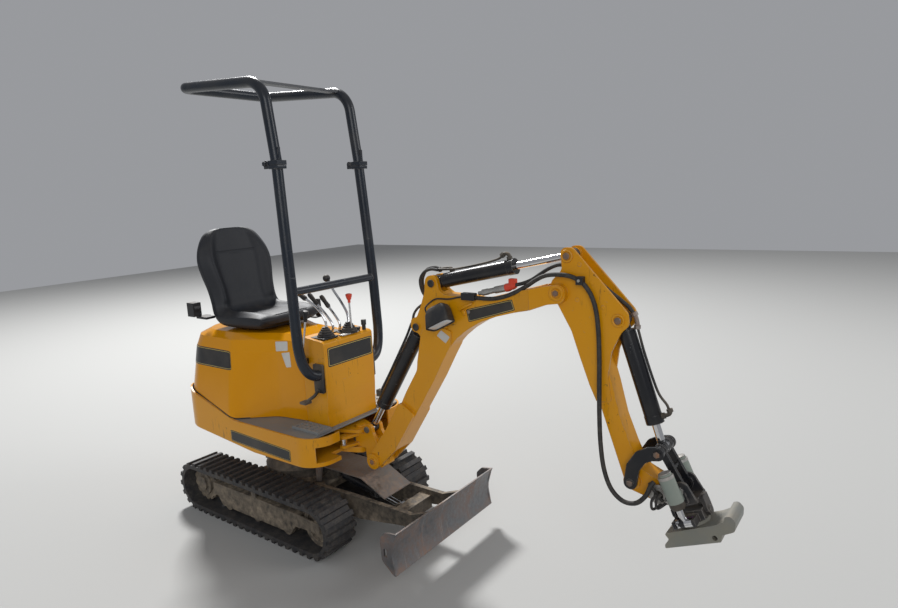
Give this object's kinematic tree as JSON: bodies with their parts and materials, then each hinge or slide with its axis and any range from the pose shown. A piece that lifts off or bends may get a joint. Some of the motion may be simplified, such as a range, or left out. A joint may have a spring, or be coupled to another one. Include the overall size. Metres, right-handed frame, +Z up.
{
  "type": "mini excavator",
  "caption": "Small tracked excavator with dozer blade, folding two-post guard, swing boom and a tilting, rotating coupler.",
  "frame": {"origin": "on the floor under the middle of the whole machine", "axes": "+X the way the undercarriage drives forward, +Y to the operator's left, +Z up"},
  "size_m": [2.8392, 0.746, 2.2619],
  "materials": {
    "bare_steel": "bare worn steel",
    "black_plastic": "black moulding",
    "blade_steel": "bare steel with rust and scratches",
    "chrome": "polished rod",
    "coupler_paint": "grey-green paint, worn",
    "cover_paint": "moulded yellow engine cover",
    "dark_paint": "black paint under dust",
    "grey_paint": "grey floor paint, worn",
    "guard_paint": "satin blue-black paint",
    "hose_rubber": "hydraulic hose",
    "lamp": "grey lamp with pale lens",
    "seat_vinyl": "black seat cover",
    "track_rubber": "dusty black rubber",
    "yellow_paint": "satin yellow paint, dusty"
  },
  "bodies": {
    "base": {"centre_frame": "dark_paint", "slew_ring": "bare_steel", "hose_guard": "bare_steel", "blade_ears": "dark_paint", "blade_pins": "bare_steel", "track_left": "track_rubber", "track_right": "track_rubber", "sprocket_left": "dark_paint", "sprocket_right": "dark_paint", "idler_left": "dark_paint", "idler_right": "dark_paint", "rollers_left": "dark_paint", "rollers_right": "dark_paint", "track_frame_left": "dark_paint", "track_frame_right": "dark_paint"},
    "blade_group": {"blade": "blade_steel", "blade_arms": "dark_paint"},
    "blade_barrel": {"blade_cylinder": "dark_paint"},
    "blade_piston": {"blade_rod": "chrome"},
    "house": {"house_frame": "yellow_paint", "floor_plate": "grey_paint", "foot_treads": "grey_paint", "engine_block": "dark_paint", "console": "yellow_paint", "control_levers": "black_plastic", "guard_brackets": "dark_paint", "guard_lower": "guard_paint"},
    "cover": {"engine_cover": "cover_paint", "seat": "seat_vinyl", "seat_belt": "black_plastic"},
    "guard_top": {"guard_upper": "guard_paint"},
    "swing_post": {"kingpost": "yellow_paint"},
    "swing_barrel": {"swing_cylinder": "dark_paint"},
    "swing_piston": {"swing_rod": "chrome"},
    "boom_group": {"boom": "yellow_paint", "work_light": "lamp", "boom_hoses": "hose_rubber"},
    "lift_barrel": {"lift_cylinder": "dark_paint"},
    "lift_piston": {"lift_rod": "chrome"},
    "dipper_group": {"dipper": "yellow_paint"},
    "crowd_barrel": {"dipper_cylinder": "dark_paint"},
    "crowd_piston": {"dipper_rod": "chrome"},
    "levers": {"bucket_levers": "dark_paint"},
    "link": {"bucket_link": "dark_paint"},
    "curl_barrel": {"bucket_cylinder": "dark_paint"},
    "curl_piston": {"bucket_rod": "chrome"},
    "tool": {"tool_bracket": "coupler_paint", "tilt_cylinders": "coupler_paint"},
    "tilter": {"tilt_body": "coupler_paint"},
    "tilt_piston_left": {"tilt_rod_left": "chrome"},
    "tilt_piston_right": {"tilt_rod_right": "chrome"},
    "rotator": {"hitch": "coupler_paint"}
  },
  "joints": [
    {"name": "slew", "type": "hinge", "parent": "base", "child": "house", "pos_m": [-0.81174, 0, 0.392], "axis": [0, 0, 1], "continuous": true},
    {"name": "blade_lift", "type": "hinge", "parent": "base", "child": "blade_group", "pos_m": [-0.56174, 0, 0.196], "axis": [0, -1, 0], "range_deg": [-22, 5]},
    {"name": "blade_barrel_pivot", "type": "hinge", "parent": "base", "child": "blade_barrel", "pos_m": [-0.51174, 0, 0.262], "axis": [0, 1, 0], "range_deg": [-5.76, 23.64]},
    {"name": "blade_rod_slide", "type": "slide", "parent": "blade_barrel", "child": "blade_piston", "axis": [0.98, 0, -0.1988], "range_m": [-0.00768, 0.0304]},
    {"name": "cover_hinge", "type": "hinge", "parent": "house", "child": "cover", "pos_m": [-1.39274, 0, 0.698], "axis": [0, -1, 0], "range_deg": [0, 50]},
    {"name": "guard_fold", "type": "hinge", "parent": "house", "child": "guard_top", "pos_m": [-0.52474, 0, 1.83], "axis": [0, 1, 0], "range_deg": [-50, 0]},
    {"name": "boom_swing", "type": "hinge", "parent": "house", "child": "swing_post", "pos_m": [-0.34174, 0, 0.49], "axis": [0, 0, 1], "range_deg": [-50, 50]},
    {"name": "swing_barrel_pivot", "type": "hinge", "parent": "house", "child": "swing_barrel", "pos_m": [-0.83174, -0.235, 0.49], "axis": [0, 0, 1], "range_deg": [-4.71, 4.71]},
    {"name": "swing_rod_slide", "type": "slide", "parent": "swing_barrel", "child": "swing_piston", "axis": [0.9603, 0.2788, 0], "range_m": [-0.06167, 0.06167]},
    {"name": "boom_lift", "type": "hinge", "parent": "swing_post", "child": "boom_group", "pos_m": [-0.20274, 0, 0.41], "axis": [0, -1, 0], "range_deg": [-62, 28]},
    {"name": "lift_barrel_pivot", "type": "hinge", "parent": "boom_group", "child": "lift_barrel", "pos_m": [0.08926, 0, 1.093], "axis": [0, 1, 0], "range_deg": [-2.13, 4.12]},
    {"name": "lift_rod_slide", "type": "slide", "parent": "lift_barrel", "child": "lift_piston", "axis": [-0.5377, 0, -0.8431], "range_m": [-0.05952, 0.13058]},
    {"name": "dipper_crowd", "type": "hinge", "parent": "boom_group", "child": "dipper_group", "pos_m": [0.78426, 0, 1.286], "axis": [0, 1, 0], "range_deg": [-74, 42]},
    {"name": "crowd_barrel_pivot", "type": "hinge", "parent": "boom_group", "child": "crowd_barrel", "pos_m": [0.18526, 0, 1.291], "axis": [0, 1, 0], "range_deg": [-2.67, 1.73]},
    {"name": "crowd_rod_slide", "type": "slide", "parent": "crowd_barrel", "child": "crowd_piston", "axis": [0.9795, 0, 0.2015], "range_m": [-0.14157, 0.08078]},
    {"name": "tool_curl", "type": "hinge", "parent": "dipper_group", "child": "tool", "pos_m": [1.16326, 0, 0.583], "axis": [0, -1, 0], "range_deg": [-95, 22]},
    {"name": "lever_pivot", "type": "hinge", "parent": "dipper_group", "child": "levers", "pos_m": [1.06526, 0, 0.611], "axis": [0, 1, 0], "range_deg": [-10.14, 42.11]},
    {"name": "link_pivot", "type": "hinge", "parent": "levers", "child": "link", "pos_m": [1.16026, 0, 0.739], "axis": [0, 1, 0], "range_deg": [-2.42, 0.94]},
    {"name": "curl_barrel_pivot", "type": "hinge", "parent": "dipper_group", "child": "curl_barrel", "pos_m": [1.01126, 0, 1.197], "axis": [0, 1, 0], "range_deg": [-4.04, 1.32]},
    {"name": "curl_rod_slide", "type": "slide", "parent": "curl_barrel", "child": "curl_piston", "axis": [0.3094, 0, -0.9509], "range_m": [-0.02471, 0.10338]},
    {"name": "tilt", "type": "hinge", "parent": "tool", "child": "tilter", "pos_m": [1.26128, 0, 0.52265], "axis": [0.9135, 0, 0.4067], "range_deg": [-25, 25]},
    {"name": "tilt_rod_left_slide", "type": "slide", "parent": "tool", "child": "tilt_piston_left", "axis": [-0.4067, 0, 0.9135], "range_m": [-0.03565, 0.03565]},
    {"name": "tilt_rod_right_slide", "type": "slide", "parent": "tool", "child": "tilt_piston_right", "axis": [-0.4067, 0, 0.9135], "range_m": [-0.03565, 0.03565]},
    {"name": "rotate", "type": "hinge", "parent": "tilter", "child": "rotator", "pos_m": [1.27145, 0, 0.49981], "axis": [-0.4067, 0, 0.9135], "continuous": true}
  ],
  "couplings": [
    {"joint": "blade_barrel_pivot", "follows": "blade_lift", "ratio": -1.0516},
    {"joint": "blade_rod_slide", "follows": "blade_lift", "m_per_rad": -0.076577},
    {"joint": "swing_barrel_pivot", "follows": "boom_swing", "ratio": -0.084151},
    {"joint": "swing_rod_slide", "follows": "boom_swing", "m_per_rad": 0.069522},
    {"joint": "lift_barrel_pivot", "follows": "boom_lift", "ratio": -0.05838},
    {"joint": "lift_rod_slide", "follows": "boom_lift", "m_per_rad": -0.11974},
    {"joint": "crowd_barrel_pivot", "follows": "dipper_crowd", "ratio": 0.02926},
    {"joint": "crowd_rod_slide", "follows": "dipper_crowd", "m_per_rad": 0.10884},
    {"joint": "lever_pivot", "follows": "tool_curl", "ratio": -0.43801},
    {"joint": "link_pivot", "follows": "tool_curl", "ratio": 0.020158},
    {"joint": "curl_barrel_pivot", "follows": "tool_curl", "ratio": 0.037272},
    {"joint": "curl_rod_slide", "follows": "tool_curl", "m_per_rad": -0.061744},
    {"joint": "tilt_rod_left_slide", "follows": "tilt", "m_per_rad": 0.079423},
    {"joint": "tilt_rod_right_slide", "follows": "tilt", "m_per_rad": -0.079423}
  ]
}
